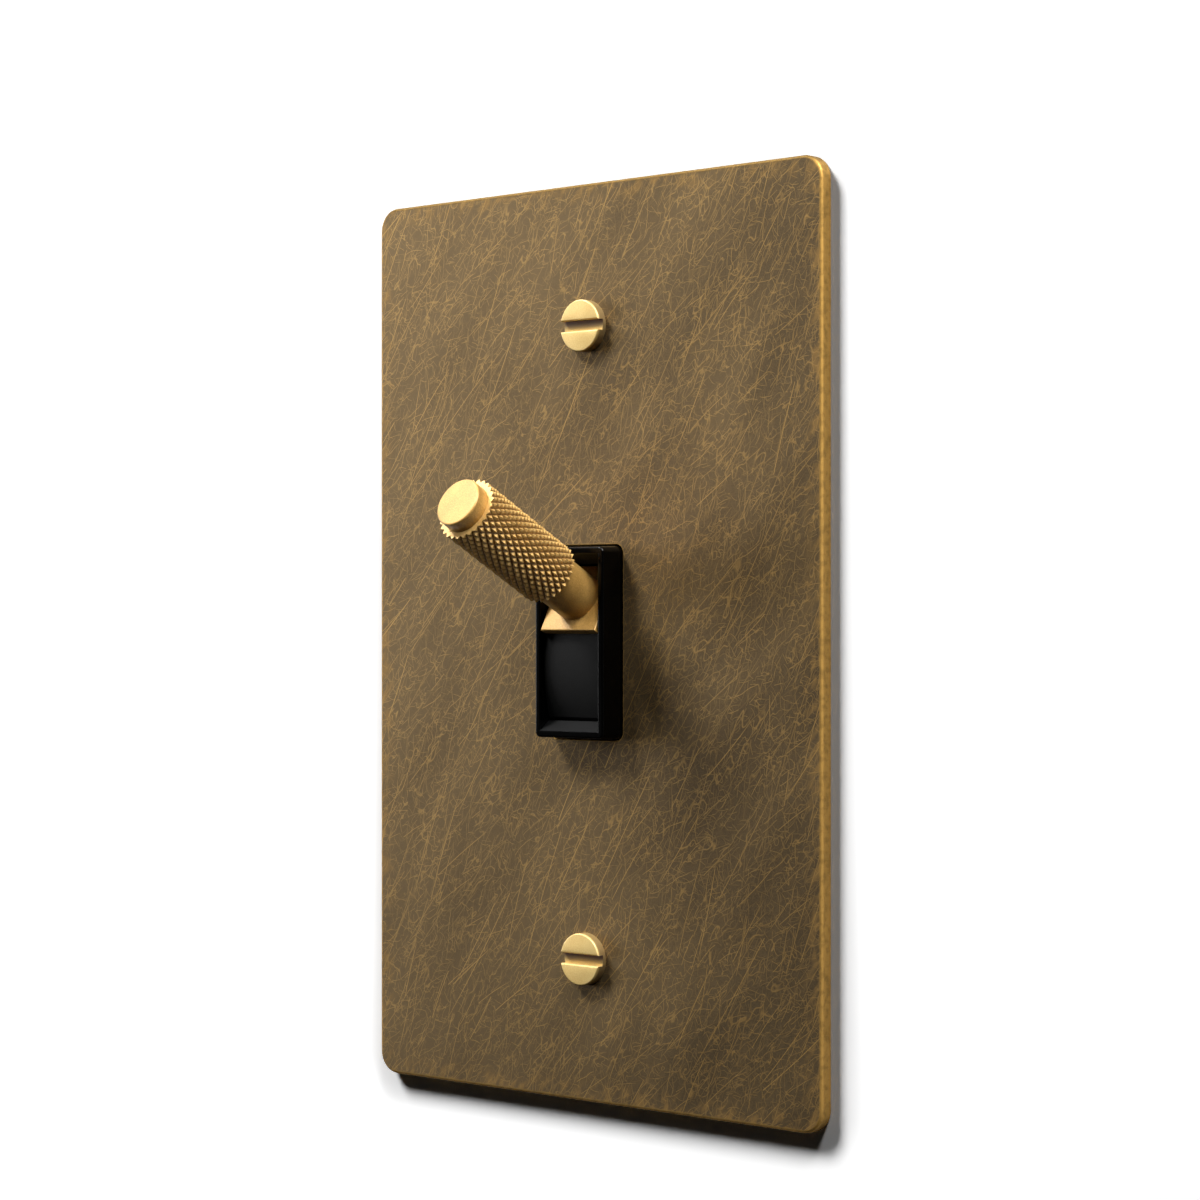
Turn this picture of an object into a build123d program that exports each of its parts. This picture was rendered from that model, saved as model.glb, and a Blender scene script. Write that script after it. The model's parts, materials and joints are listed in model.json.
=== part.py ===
from build123d import *
import math
import os

# Toggle light switch with a knurled brass lever on a patinated brass plate.
# Millimetres and degrees. The origin is the middle of the wall plane, behind the plate.
# +X is right, +Z is up, the front faces -Y and the mechanism lies in the wall box at +Y.

# Front plate
PLATE_WIDTH = 78.0
PLATE_HEIGHT = 121.0
PLATE_THICKNESS = 1.8
PLATE_CORNER_RADIUS = 3.0
PLATE_EDGE_ROUND = 0.4
PLATE_POCKET_DEPTH = 0.4
CUTOUT_CHAMFER = 0.12

# Plate screws, which pass through the strap into the wall box
SCREW_SPACING = 83.34
SCREW_HEAD_DIAMETER = 6.85
SCREW_HEAD_HEIGHT = 1.45
SCREW_HEAD_CHAMFER = 0.15
SCREW_SLOT_WIDTH = 1.4
SCREW_SLOT_DEPTH = 0.9
SCREW_NECK_DIAMETER = 3.0
SCREW_THREAD_DIAMETER = 3.5
SCREW_THREAD_LENGTH = 20.0

# Black bezel, moulded in one with the switch's front cover
BEZEL_RIM_WIDTH = 12.0
BEZEL_RIM_HEIGHT = 25.0
BEZEL_RIM_WALL = 0.85
BEZEL_PROTRUSION = 3.55
BEZEL_DRAFT = 0.15
BEZEL_CORNER_RADIUS = 0.9
BEZEL_EDGE_ROUND = 0.3
MOUTH_EDGE_ROUND = 0.12
LEDGE_DEPTH = 1.8
LEDGE_STEP = 1.35
COVER_THICKNESS = 2.0
CHEEK_THICKNESS = 2.0
CHEEK_REACH = 4.5

# Lever, measured along its axis from the pivot
LEVER_TILT = 27.8
PIVOT_DEPTH = 9.6
BASE_FACE = 12.6
BASE_SIZE = 9.6
BASE_THICKNESS = 1.0
BASE_EDGE_ROUND = 0.15
NECK_LENGTH = 6.7
ROD_DIAMETER = 6.65
BUTTON_LENGTH = 1.9
BUTTON_EDGE_ROUND = 0.25
SPIGOT_DIAMETER = 4.0
SPIGOT_LENGTH = 6.5

# Knurled sleeve
KNURL_LENGTH = 17.05
KNURL_DIAMETER = 8.65
KNURL_DEPTH = 0.4
KNURL_TEETH = 27
KNURL_ANGLE = 32.0

# Rocker that carries the lever, with a shield wing above and below it
ROCKER_WIDTH = 9.8
WING_DROP = 0.65
WING_ROUND = 24.0
WING_TANGENT = 3.0
WING_WALL = 1.5
WING_HALF_ANGLE = 80.0
POST_HALF_HEIGHT = 4.1
HUB_RADIUS = 4.4
INSERT_DIAMETER = 6.0
PIVOT_PIN_DIAMETER = 3.0

# Snap spring between the balls on the rocker's tail and on the contact arm
TAIL_LENGTH = 6.6
SEAT_BALL_DIAMETER = 2.7
SEAT_NECK_DIAMETER = 1.9
SPRING_DIAMETER = 3.0
SPRING_WIRE = 0.36
SPRING_TURNS = 6

# Contact arm, a see-saw that follows the lever
ARM_SPACING = 15.0
ARM_TILT = 9.0
ARM_LENGTH = 20.4
ARM_WIDTH = 6.0
ARM_THICKNESS = 1.2
ARM_HUB_DIAMETER = 4.0
ARM_NOSE = 3.3
ARM_PIN_DIAMETER = 1.6
CONTACT_OFFSET = 8.2
CONTACT_DIAMETER = 3.4
MOVING_CONTACT_HEIGHT = 0.9
FIXED_CONTACT_HEIGHT = 1.05
CONTACT_DOME = 4.0

# Strap
YOKE_WIDTH = 33.0
YOKE_HEIGHT = 98.0
YOKE_THICKNESS = 1.2
YOKE_CORNER_RADIUS = 4.0
EARTH_TAB_WIDTH = 8.0
EARTH_TAB_LENGTH = 9.5
EARTH_TAB_DROP = 36.0

# Housing, rear cover and the screws that clamp them to the strap
HOUSING_WIDTH = 32.0
HOUSING_HEIGHT = 56.0
HOUSING_CORNER_RADIUS = 2.0
REAR_COVER_THICKNESS = 2.0
REAR_PANEL_DEPTH = 0.5
REAR_PANEL_MARGIN = 7.5
ASSEMBLY_SCREW_DIAMETER = 2.8
ASSEMBLY_HEAD_DIAMETER = 5.0
ASSEMBLY_HEAD_HEIGHT = 1.6
ASSEMBLY_SCREW_INSET = 4.5

# Terminals and their binding screws
TERMINAL_WIDTH = 7.0
TERMINAL_THICKNESS = 1.0
TERMINAL_RECESS = 3.0
TERMINAL_INSET = 2.2
TERMINAL_SETBACK = 8.5
TERMINAL_LEG_REACH = 4.5
CLAMP_THICKNESS = 1.0
BINDING_SCREW_DIAMETER = 4.0
BINDING_HEAD_DIAMETER = 6.6
BINDING_HEAD_HEIGHT = 2.0
BINDING_SHANK_LENGTH = 4.4
DRIVE_SLOT_WIDTH = 1.0
DRIVE_SLOT_DEPTH = 0.8

# Clearances
CLOSE_GAP = 0.03
RUNNING_GAP = 0.05
CONTACT_GAP = 0.05
SIDE_GAP = 0.2
PANEL_GAP = 0.15
LOOSE_GAP = 0.3
SWEEP_GAP = 0.2
HOLE_GAP = 0.25
OVERCUT = 1.0

# Levels along Y, from the front to the back
plate_front = -PLATE_THICKNESS
rim_front = plate_front - BEZEL_PROTRUSION
ledge_back = rim_front + LEDGE_DEPTH
yoke_front = -PLATE_POCKET_DEPTH
yoke_back = yoke_front + YOKE_THICKNESS
cover_back = yoke_back + COVER_THICKNESS
pivot_y = plate_front + PIVOT_DEPTH
cheek_back = pivot_y + CHEEK_REACH
arm_y = pivot_y + ARM_SPACING

# The bezel's mouth, and the round space in which the rocker swings
mouth_half_x = BEZEL_RIM_WIDTH / 2 - BEZEL_RIM_WALL
mouth_half_z = BEZEL_RIM_HEIGHT / 2 - BEZEL_RIM_WALL
ledge_half_z = mouth_half_z - LEDGE_STEP
swing_radius = math.hypot(pivot_y - ledge_back, ledge_half_z)
wing_radius = swing_radius - SWEEP_GAP
cheek_half_x = mouth_half_x + CHEEK_THICKNESS
cheek_half_z = swing_radius + CHEEK_THICKNESS

# The pocket in the plate's back clears both the strap and the switch body, so that its rim meets the wall
pocket_width = max(YOKE_WIDTH, HOUSING_WIDTH) + 2 * LOOSE_GAP
pocket_height = max(YOKE_HEIGHT, HOUSING_HEIGHT) + 2 * LOOSE_GAP

# Lever stations along its axis
seat_u = BASE_FACE - BASE_THICKNESS
knurl_start = BASE_FACE + NECK_LENGTH
knurl_end = knurl_start + KNURL_LENGTH
tip_u = knurl_end + BUTTON_LENGTH

# The fixed contacts meet the tilted arm's contacts squarely
arm_tilt = math.radians(ARM_TILT)
contact_rise = ARM_THICKNESS / 2 + MOVING_CONTACT_HEIGHT
dome_reach = CONTACT_DOME + CONTACT_GAP
fixed_z = CONTACT_OFFSET * math.cos(arm_tilt) - (contact_rise + dome_reach) * math.sin(arm_tilt)
fixed_apex = (arm_y + CONTACT_OFFSET * math.sin(arm_tilt)
              + (contact_rise + dome_reach) * math.cos(arm_tilt) - CONTACT_DOME)
strip_front = fixed_apex + FIXED_CONTACT_HEIGHT
housing_back = strip_front + TERMINAL_THICKNESS
rear_back = housing_back + REAR_COVER_THICKNESS

# Terminal places: the common one on the left, the two switched ones on the right
recess_x = HOUSING_WIDTH / 2 - TERMINAL_RECESS
binding_y = housing_back - TERMINAL_SETBACK
leg_front = binding_y - TERMINAL_LEG_REACH
side_z = fixed_z - TERMINAL_INSET + TERMINAL_WIDTH / 2
terminal_places = [(-1, 0.0), (1, side_z), (1, -side_z)]

assembly_x = HOUSING_WIDTH / 2 - ASSEMBLY_SCREW_INSET
assembly_z = HOUSING_HEIGHT / 2 - ASSEMBLY_SCREW_INSET
assembly_places = [(x, z) for x in (-assembly_x, assembly_x) for z in (-assembly_z, assembly_z)]
screw_places = [SCREW_SPACING / 2, -SCREW_SPACING / 2]
screw_hole_radius = SCREW_THREAD_DIAMETER / 2 + HOLE_GAP
earth_x = -YOKE_WIDTH / 2
earth_y = yoke_front + EARTH_TAB_LENGTH / 2 + YOKE_THICKNESS


def block(x0, x1, y0, y1, z0, z1):
    """A box given by its limits."""
    middle = Pos((x0 + x1) / 2, (y0 + y1) / 2, (z0 + z1) / 2)
    return middle * Box(x1 - x0, y1 - y0, z1 - z0)


def rod_x(radius, x0, x1, y, z):
    """A round bar along X."""
    return Pos((x0 + x1) / 2, y, z) * Rot(0, 90, 0) * Cylinder(radius, x1 - x0)


def rod_y(radius, y0, y1, x=0.0, z=0.0):
    """A round bar along Y."""
    return Pos(x, (y0 + y1) / 2, z) * Rot(90, 0, 0) * Cylinder(radius, y1 - y0)


def panel(width, height, corner, y0, y1, taper=0.0):
    """A rounded rectangle facing the front, drawn at y1 and carried forward to y0."""
    outline = Plane.XZ.offset(-y1) * RectangleRounded(width, height, corner)
    return extrude(outline, y1 - y0, taper=taper)


def front_face(shape):
    """The foremost face of a shape."""
    return shape.faces().sort_by(Axis.Y)[0]


def tilt_lever(shape):
    """Swing a piece of the lever from straight out to its raised position."""
    return shape.rotate(Axis((0, pivot_y, 0), (1, 0, 0)), -LEVER_TILT)


def tilt_arm(shape):
    """Swing a piece of the contact arm to the position it takes with the lever up."""
    return shape.rotate(Axis((0, arm_y, 0), (1, 0, 0)), -ARM_TILT)


def faceplate():
    """Flat plate with a round-edged front and a shallow pocket for the strap in its back."""
    plate = panel(PLATE_WIDTH, PLATE_HEIGHT, PLATE_CORNER_RADIUS, plate_front, 0)
    plate = fillet(front_face(plate).outer_wire().edges(), PLATE_EDGE_ROUND)
    width = BEZEL_RIM_WIDTH + 2 * (BEZEL_DRAFT + PANEL_GAP)
    height = BEZEL_RIM_HEIGHT + 2 * (BEZEL_DRAFT + PANEL_GAP)
    plate -= panel(width, height, BEZEL_CORNER_RADIUS + PANEL_GAP, plate_front - OVERCUT, OVERCUT)
    cutout = front_face(plate).inner_wires()[0]
    plate = chamfer(cutout.edges(), CUTOUT_CHAMFER)
    for z in screw_places:
        plate -= rod_y(screw_hole_radius, plate_front - OVERCUT, OVERCUT, 0, z)
    pocket = panel(pocket_width, pocket_height, YOKE_CORNER_RADIUS, yoke_front, OVERCUT)
    return plate - pocket


def face_screws():
    """Slotted cheese-head screws with a thin neck, so that they stay captive in the strap."""
    head_front = plate_front - SCREW_HEAD_HEIGHT
    head_radius = SCREW_HEAD_DIAMETER / 2
    thread_radius = SCREW_THREAD_DIAMETER / 2
    thread_start = yoke_back + LOOSE_GAP
    thread_end = thread_start + SCREW_THREAD_LENGTH
    screws = []
    for z in screw_places:
        head = rod_y(head_radius, head_front, plate_front, 0, z)
        head = chamfer(front_face(head).edges(), SCREW_HEAD_CHAMFER)
        half_slot = SCREW_SLOT_WIDTH / 2
        head -= block(-head_radius - OVERCUT, head_radius + OVERCUT, head_front - OVERCUT,
                      head_front + SCREW_SLOT_DEPTH, z - half_slot, z + half_slot)
        neck = rod_y(SCREW_NECK_DIAMETER / 2, plate_front, thread_start, 0, z)
        thread = rod_y(thread_radius, thread_start, thread_end, 0, z)
        tip = thread.faces().sort_by(Axis.Y)[-1]
        thread = chamfer(tip.edges(), (SCREW_THREAD_DIAMETER - SCREW_NECK_DIAMETER) / 2)
        screws.append(head + neck + thread)
    return screws


def mouth_cutter():
    """The bezel's mouth: ends that slope in to a ledge, then straight on to the pivot."""
    with BuildSketch(Plane.YZ) as outline:
        Polygon((rim_front - OVERCUT, -mouth_half_z), (rim_front, -mouth_half_z),
                (ledge_back, -ledge_half_z), (pivot_y, -ledge_half_z),
                (pivot_y, ledge_half_z), (ledge_back, ledge_half_z),
                (rim_front, mouth_half_z), (rim_front - OVERCUT, mouth_half_z), align=None)
    return extrude(outline.sketch, mouth_half_x, both=True)


def toggle_frame():
    """Front cover of the switch with the bezel in front and the lever's bearing cheeks behind."""
    width = BEZEL_RIM_WIDTH + 2 * BEZEL_DRAFT
    height = BEZEL_RIM_HEIGHT + 2 * BEZEL_DRAFT
    draft = math.degrees(math.atan2(BEZEL_DRAFT, BEZEL_PROTRUSION))
    bezel = panel(width, height, BEZEL_CORNER_RADIUS, rim_front, plate_front, draft)
    bezel = fillet(front_face(bezel).outer_wire().edges(), BEZEL_EDGE_ROUND)
    frame = bezel + panel(width, height, BEZEL_CORNER_RADIUS, plate_front, yoke_front)
    frame += block(-cheek_half_x, cheek_half_x, yoke_front, cheek_back, -cheek_half_z, cheek_half_z)
    frame += panel(HOUSING_WIDTH, HOUSING_HEIGHT, HOUSING_CORNER_RADIUS, yoke_back, cover_back)
    frame -= mouth_cutter()
    frame = fillet(front_face(frame).inner_wires()[0].edges(), MOUTH_EDGE_ROUND)
    frame -= rod_x(swing_radius, -mouth_half_x, mouth_half_x, pivot_y, 0)
    frame -= rod_x(PIVOT_PIN_DIAMETER / 2 + CLOSE_GAP, -cheek_half_x - OVERCUT,
                   cheek_half_x + OVERCUT, pivot_y, 0)
    for x, z in assembly_places:
        frame -= rod_y(ASSEMBLY_SCREW_DIAMETER / 2 + HOLE_GAP, yoke_back - OVERCUT,
                       cover_back + OVERCUT, x, z)
    return frame


def mounting_yoke():
    """Pressed steel strap, tapped for the clamping screws, with an earth tab bent back from its edge."""
    strap = panel(YOKE_WIDTH, YOKE_HEIGHT, YOKE_CORNER_RADIUS, yoke_front, yoke_back)
    half_x = cheek_half_x + PANEL_GAP
    half_z = cheek_half_z + PANEL_GAP
    strap -= block(-half_x, half_x, yoke_front - OVERCUT, yoke_back + OVERCUT, -half_z, half_z)
    for z in screw_places:
        strap -= rod_y(screw_hole_radius, yoke_front - OVERCUT, yoke_back + OVERCUT, 0, z)
    for x, z in assembly_places:
        strap -= rod_y(ASSEMBLY_SCREW_DIAMETER / 2 + CLOSE_GAP, yoke_front - OVERCUT,
                       yoke_back + OVERCUT, x, z)
    tab = block(earth_x, earth_x + YOKE_THICKNESS, yoke_front, yoke_back + EARTH_TAB_LENGTH,
                -EARTH_TAB_DROP - EARTH_TAB_WIDTH / 2, -EARTH_TAB_DROP + EARTH_TAB_WIDTH / 2)
    tab -= rod_x(BINDING_SCREW_DIAMETER / 2 + CLOSE_GAP, earth_x - OVERCUT,
                 earth_x + YOKE_THICKNESS + OVERCUT, earth_y, -EARTH_TAB_DROP)
    return strap + tab


def terminal_cutter(side, z):
    """Recess in the housing's side for one terminal, its passage inwards and its screw's well."""
    half = TERMINAL_WIDTH / 2 + SIDE_GAP
    outer = side * (HOUSING_WIDTH / 2 + OVERCUT)
    floor = side * recess_x
    well = floor - side * (BINDING_SHANK_LENGTH + LOOSE_GAP)
    recess = block(*sorted((floor, outer)), leg_front - SIDE_GAP, housing_back + OVERCUT,
                   z - half, z + half)
    passage = block(*sorted((0, outer)), strip_front - CLOSE_GAP, housing_back + OVERCUT,
                    z - half, z + half)
    well_radius = BINDING_SCREW_DIAMETER / 2 + HOLE_GAP
    return recess + passage + rod_x(well_radius, *sorted((well, outer)), binding_y, z)


def switch_housing():
    """Moulded body, open at both ends, with a recess in its side for each terminal."""
    body = panel(HOUSING_WIDTH, HOUSING_HEIGHT, HOUSING_CORNER_RADIUS, cover_back, housing_back)
    half_x = cheek_half_x + SIDE_GAP
    half_z = cheek_half_z + SIDE_GAP
    body -= block(-half_x, half_x, cover_back - OVERCUT, housing_back + OVERCUT, -half_z, half_z)
    for side, z in terminal_places:
        body -= terminal_cutter(side, z)
    for x, z in assembly_places:
        body -= rod_y(ASSEMBLY_SCREW_DIAMETER / 2 + HOLE_GAP, cover_back - OVERCUT,
                      housing_back + OVERCUT, x, z)
    return body


def rear_cover():
    """Plate that closes the housing and keeps the terminals in their passages."""
    cover = panel(HOUSING_WIDTH, HOUSING_HEIGHT, HOUSING_CORNER_RADIUS, housing_back, rear_back)
    cover -= panel(HOUSING_WIDTH - 2 * REAR_PANEL_MARGIN, HOUSING_HEIGHT - 2 * REAR_PANEL_MARGIN,
                   HOUSING_CORNER_RADIUS, rear_back - REAR_PANEL_DEPTH, rear_back + OVERCUT)
    for x, z in assembly_places:
        cover -= rod_y(ASSEMBLY_SCREW_DIAMETER / 2 + HOLE_GAP, housing_back - OVERCUT,
                       rear_back + OVERCUT, x, z)
    return cover


def assembly_screws():
    """Long screws from the rear cover to the strap."""
    screws = []
    for x, z in assembly_places:
        head_radius = ASSEMBLY_HEAD_DIAMETER / 2
        head_back = rear_back + ASSEMBLY_HEAD_HEIGHT
        half_slot = DRIVE_SLOT_WIDTH / 2
        screw = rod_y(head_radius, rear_back, head_back, x, z)
        screw -= block(x - head_radius - OVERCUT, x + head_radius + OVERCUT,
                       head_back - DRIVE_SLOT_DEPTH, head_back + OVERCUT, z - half_slot, z + half_slot)
        screws.append(screw + rod_y(ASSEMBLY_SCREW_DIAMETER / 2, yoke_front + CLOSE_GAP, rear_back, x, z))
    return screws


def wing_disc(side):
    """The round face of one wing, level with the plate when the lever is at its limit on the other side."""
    face = PIVOT_DEPTH + BEZEL_PROTRUSION - WING_DROP
    centre = Vector(WING_ROUND - face, side * WING_TANGENT).rotate(Axis.Z, -side * LEVER_TILT)
    return Pos(centre.X, centre.Y) * Circle(WING_ROUND)


def rocker():
    """Moulded rocker: a hub on the pivot pin, a post for the lever, two shield wings and a tail."""
    reach = 2 * swing_radius
    edge_y = -reach * math.cos(math.radians(WING_HALF_ANGLE))
    edge_z = reach * math.sin(math.radians(WING_HALF_ANGLE))
    fan = Polygon((0, 0), (edge_y, -edge_z), (-reach, -edge_z), (-reach, edge_z), (edge_y, edge_z),
                  align=None)
    section = Circle(wing_radius) & fan & wing_disc(1) & wing_disc(-1)
    section -= Pos(-seat_u - reach, 0) * Rectangle(2 * reach, 2 * reach)
    post = Pos(-seat_u / 2, 0) * Rectangle(seat_u, 2 * POST_HALF_HEIGHT)
    wing_inner = seat_u * math.cos(math.radians(LEVER_TILT)) - WING_WALL
    section = section - Circle(wing_inner) + post + Circle(HUB_RADIUS)
    body = extrude(Plane.YZ * section, ROCKER_WIDTH / 2, both=True)
    body = Pos(0, pivot_y, 0) * body
    ball_y = pivot_y + TAIL_LENGTH
    body += rod_y(SEAT_NECK_DIAMETER / 2, pivot_y, ball_y)
    body += Pos(0, ball_y, 0) * Sphere(SEAT_BALL_DIAMETER / 2)
    body -= rod_x(PIVOT_PIN_DIAMETER / 2 + RUNNING_GAP, -ROCKER_WIDTH, ROCKER_WIDTH, pivot_y, 0)
    insert_end = BASE_FACE - SPIGOT_LENGTH - LOOSE_GAP
    body -= rod_y(INSERT_DIAMETER / 2 + CLOSE_GAP, pivot_y - reach, pivot_y - insert_end)
    return tilt_lever(body)


def threaded_insert():
    """Brass bush moulded into the rocker's post, which the lever screws into."""
    insert_end = BASE_FACE - SPIGOT_LENGTH - LOOSE_GAP
    bush = rod_y(INSERT_DIAMETER / 2, pivot_y - seat_u, pivot_y - insert_end)
    bush -= rod_y(SPIGOT_DIAMETER / 2 + CLOSE_GAP, pivot_y - seat_u - OVERCUT, pivot_y)
    return tilt_lever(bush)


def lever_base():
    """Square brass plate between the lever's neck and the rocker."""
    half = BASE_SIZE / 2
    base = block(-half, half, pivot_y - BASE_FACE, pivot_y - seat_u, -half, half)
    base = fillet(front_face(base).edges(), BASE_EDGE_ROUND)
    base -= rod_y(SPIGOT_DIAMETER / 2 + CLOSE_GAP, pivot_y - BASE_FACE - OVERCUT, pivot_y)
    return tilt_lever(base)


def lever_rod():
    """Turned brass rod: a button at its tip, a plain neck at its foot and a threaded spigot."""
    rod = rod_y(ROD_DIAMETER / 2, pivot_y - tip_u, pivot_y - BASE_FACE)
    rod = fillet(front_face(rod).edges(), BUTTON_EDGE_ROUND)
    rod += rod_y(SPIGOT_DIAMETER / 2, pivot_y - BASE_FACE, pivot_y - BASE_FACE + SPIGOT_LENGTH)
    return tilt_lever(rod)


def knurled_sleeve():
    """Brass tube with a diamond knurl: rows of small pyramids between two sets of crossing grooves."""
    columns = 2 * KNURL_TEETH
    half_pitch = math.pi * KNURL_DIAMETER / columns
    rows = round(KNURL_LENGTH * math.tan(math.radians(KNURL_ANGLE)) / half_pitch)
    step = KNURL_LENGTH / rows

    def point(i, j):
        """Peaks and groove crossings alternate round the tube and along it."""
        radius = KNURL_DIAMETER / 2 - KNURL_DEPTH * ((i + j) % 2)
        angle = 2 * math.pi * i / columns
        return (radius * math.cos(angle), pivot_y - knurl_start - j * step, radius * math.sin(angle))

    faces = []
    for j in range(rows):
        for i in range(columns):
            corners = [point(i, j), point(i + 1, j), point(i + 1, j + 1), point(i, j + 1)]
            first = 1 - (i + j) % 2
            for k in (first, first + 2):
                triangle = [corners[(k + n) % 4] for n in range(3)]
                faces.append(Face(Wire.make_polygon(triangle)))
    for j in (0, rows):
        faces.append(Face(Wire.make_polygon([point(i, j) for i in range(columns)])))
    sleeve = Solid(Shell(faces))
    bore = rod_y(ROD_DIAMETER / 2 + CLOSE_GAP, pivot_y - knurl_end - OVERCUT,
                 pivot_y - knurl_start + OVERCUT)
    return tilt_lever(sleeve - bore)


def pivot_pin():
    """Steel pin held in the bearing cheeks."""
    return rod_x(PIVOT_PIN_DIAMETER / 2, -cheek_half_x, cheek_half_x, pivot_y, 0)


def ball_centre(pivot, length, tilt):
    """Centre of a seat ball, at a signed distance behind a pivot, after the tilt."""
    return Vector(0, pivot + length * math.cos(tilt), -length * math.sin(tilt))


def snap_spring():
    """Compression spring between the seat balls, which throws the arm over as the lever passes centre."""
    tail = ball_centre(pivot_y, TAIL_LENGTH, math.radians(LEVER_TILT))
    nose = ball_centre(arm_y, -ARM_NOSE, arm_tilt)
    way = (nose - tail).normalized()
    coil = (SPRING_DIAMETER - SPRING_WIRE) / 2
    reach = SEAT_BALL_DIAMETER / 2 + SPRING_WIRE / 2 + CONTACT_GAP
    seat = math.sqrt(reach ** 2 - coil ** 2)
    height = (nose - tail).length - 2 * seat
    path = Helix(height / SPRING_TURNS, height, coil, center=tail + way * seat, direction=way)
    section = Plane(origin=path @ 0, z_dir=path % 0) * Circle(SPRING_WIRE / 2)
    return sweep(section, path, is_frenet=True)


def contact_arm():
    """Copper see-saw on a pin, with a ball in front for the snap spring."""
    half = ARM_LENGTH / 2
    arm = block(-ARM_WIDTH / 2, ARM_WIDTH / 2, arm_y - ARM_THICKNESS / 2,
                arm_y + ARM_THICKNESS / 2, -half, half)
    arm += rod_x(ARM_HUB_DIAMETER / 2, -ARM_WIDTH / 2, ARM_WIDTH / 2, arm_y, 0)
    arm += rod_y(SEAT_NECK_DIAMETER / 2, arm_y - ARM_NOSE, arm_y)
    arm += Pos(0, arm_y - ARM_NOSE, 0) * Sphere(SEAT_BALL_DIAMETER / 2)
    arm -= rod_x(ARM_PIN_DIAMETER / 2 + RUNNING_GAP, -ARM_WIDTH, ARM_WIDTH, arm_y, 0)
    return tilt_arm(arm)


def moving_contacts():
    """Silver contacts on the back of the arm."""
    start = arm_y + ARM_THICKNESS / 2
    end = start + MOVING_CONTACT_HEIGHT
    return [tilt_arm(rod_y(CONTACT_DIAMETER / 2, start, end, 0, side * CONTACT_OFFSET)) for side in (1, -1)]


def fixed_contacts():
    """Domed silver contacts on the two switched terminals."""
    contacts = []
    for side in (1, -1):
        z = side * fixed_z
        button = rod_y(CONTACT_DIAMETER / 2, fixed_apex, strip_front, 0, z)
        contacts.append(button & (Pos(0, fixed_apex + CONTACT_DOME, z) * Sphere(CONTACT_DOME)))
    return contacts


def terminal(side, z, inner_x):
    """Bent brass strip: a foot along the rear cover and a leg in the housing's side recess."""
    half = TERMINAL_WIDTH / 2
    outer = side * (recess_x + TERMINAL_THICKNESS)
    foot = block(*sorted((inner_x, outer)), strip_front, housing_back, z - half, z + half)
    leg = block(*sorted((side * recess_x, outer)), leg_front, housing_back, z - half, z + half)
    hole = rod_x(BINDING_SCREW_DIAMETER / 2 + CLOSE_GAP, *sorted((0, 2 * outer)), binding_y, z)
    return foot + leg - hole


def side_terminal(number):
    """A switched terminal: its foot reaches under its fixed contact."""
    side, z = terminal_places[number]
    return terminal(side, z, -side * TERMINAL_INSET)


def common_terminal():
    """The common terminal, with two ears that hold the contact arm's pin."""
    side, z = terminal_places[0]
    ear_inner = ARM_WIDTH / 2 + SIDE_GAP
    ear_outer = ear_inner + TERMINAL_THICKNESS
    ear_radius = ARM_HUB_DIAMETER / 2
    bracket = terminal(side, z, -side * ear_outer)
    for x0, x1 in ((-ear_outer, -ear_inner), (ear_inner, ear_outer)):
        bracket += block(x0, x1, arm_y, strip_front, -ear_radius, ear_radius)
        bracket += rod_x(ear_radius, x0, x1, arm_y, 0)
    bracket -= rod_x(ARM_PIN_DIAMETER / 2 + CLOSE_GAP, -ear_outer - OVERCUT,
                     ear_outer + OVERCUT, arm_y, 0)
    return bracket


def arm_pin():
    """Pin through the common terminal's ears, on which the contact arm turns."""
    half = ARM_WIDTH / 2 + SIDE_GAP + TERMINAL_THICKNESS
    return rod_x(ARM_PIN_DIAMETER / 2, -half, half, arm_y, 0)


def wire_clamps():
    """Square clamping plates under the binding screws."""
    half = TERMINAL_WIDTH / 2
    clamps = []
    for side, z in terminal_places:
        inner = side * (recess_x + TERMINAL_THICKNESS)
        outer = inner + side * CLAMP_THICKNESS
        clamp = block(*sorted((inner, outer)), binding_y - half, binding_y + half, z - half, z + half)
        clamp -= rod_x(BINDING_SCREW_DIAMETER / 2 + HOLE_GAP, *sorted((0, 2 * outer)), binding_y, z)
        clamps.append(clamp)
    return clamps


def binding_screw(side, seat, y, z, shank):
    """Slotted screw along X with its head on a seat, facing outwards."""
    crown = seat + side * BINDING_HEAD_HEIGHT
    floor = crown - side * DRIVE_SLOT_DEPTH
    radius = BINDING_HEAD_DIAMETER / 2
    screw = rod_x(radius, *sorted((seat, crown)), y, z)
    screw -= block(*sorted((floor, crown + side * OVERCUT)), y - radius - OVERCUT,
                   y + radius + OVERCUT, z - DRIVE_SLOT_WIDTH / 2, z + DRIVE_SLOT_WIDTH / 2)
    return screw + rod_x(BINDING_SCREW_DIAMETER / 2, *sorted((seat - side * shank, seat)), y, z)


def terminal_screws():
    """The binding screws of the three terminals."""
    seat = recess_x + TERMINAL_THICKNESS + CLAMP_THICKNESS
    shank = BINDING_SHANK_LENGTH + TERMINAL_THICKNESS + CLAMP_THICKNESS
    return [binding_screw(side, side * seat, binding_y, z, shank) for side, z in terminal_places]


def earth_screw():
    """Green binding screw in the strap's earth tab."""
    return binding_screw(-1, earth_x, earth_y, -EARTH_TAB_DROP, BINDING_SHANK_LENGTH + YOKE_THICKNESS)


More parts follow.
